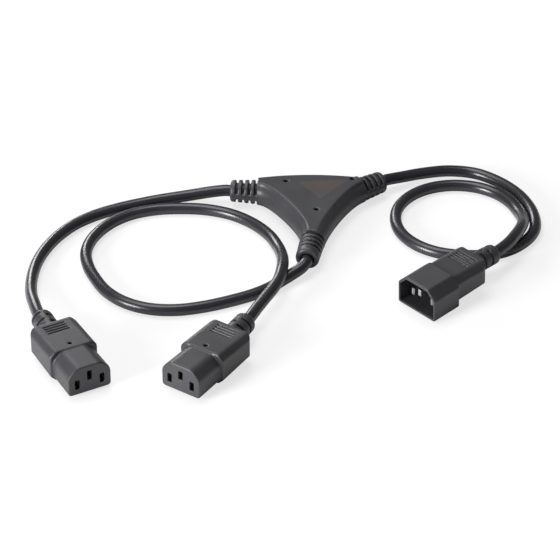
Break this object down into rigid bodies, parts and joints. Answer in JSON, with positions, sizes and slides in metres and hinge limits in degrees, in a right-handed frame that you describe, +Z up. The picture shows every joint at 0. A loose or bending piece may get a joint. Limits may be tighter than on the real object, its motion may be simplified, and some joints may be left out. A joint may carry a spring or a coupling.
{
  "type": "power cord splitter",
  "caption": "Y-shaped mains cord splitter: an inlet plug feeds line sockets on short cords through a moulded Y junction with ribbed strain reliefs.",
  "frame": {"origin": "middle of the Y moulding, where the lines of its arms meet, on its flat underside", "axes": "+Z up, square to the underside; +X along the Y moulding from its left arm to its right arm; +Y away from the stem"},
  "size_m": [0.2828, 0.2252, 0.0206],
  "materials": {
    "moulding": "black soft PVC, satin, finely textured",
    "jacket": "black PVC cord jacket, smooth and fairly glossy",
    "carrier": "black rigid plastic, matt",
    "brass": "bare stamped brass",
    "pin": "nickel-plated brass, lightly brushed",
    "core_live": "brown insulation",
    "core_neutral": "light blue insulation",
    "core_earth": "green and yellow insulation"
  },
  "bodies": {
    "root": {"splitter_housing": "moulding", "splice_live": "brass", "splice_neutral": "brass", "splice_earth": "brass", "core_left_live": "core_live", "core_left_neutral": "core_neutral", "core_left_earth": "core_earth", "core_right_live": "core_live", "core_right_neutral": "core_neutral", "core_right_earth": "core_earth", "core_stem_live": "core_live", "core_stem_neutral": "core_neutral", "core_stem_earth": "core_earth", "socket_left_housing": "moulding", "socket_left_contact_carrier": "carrier", "socket_left_contact_live": "brass", "socket_left_contact_neutral": "brass", "socket_left_contact_earth": "brass", "socket_left_core_live": "core_live", "socket_left_core_neutral": "core_neutral", "socket_left_core_earth": "core_earth", "socket_middle_housing": "moulding", "socket_middle_contact_carrier": "carrier", "socket_middle_contact_live": "brass", "socket_middle_contact_neutral": "brass", "socket_middle_contact_earth": "brass", "socket_middle_core_live": "core_live", "socket_middle_core_neutral": "core_neutral", "socket_middle_core_earth": "core_earth", "plug_housing": "moulding", "plug_pin_carrier": "carrier", "plug_pin_live": "pin", "plug_pin_neutral": "pin", "plug_pin_earth": "pin", "plug_core_live": "core_live", "plug_core_neutral": "core_neutral", "plug_core_earth": "core_earth", "cord_left": "jacket", "cord_middle": "jacket", "cord_plug": "jacket"}
  },
  "joints": []
}
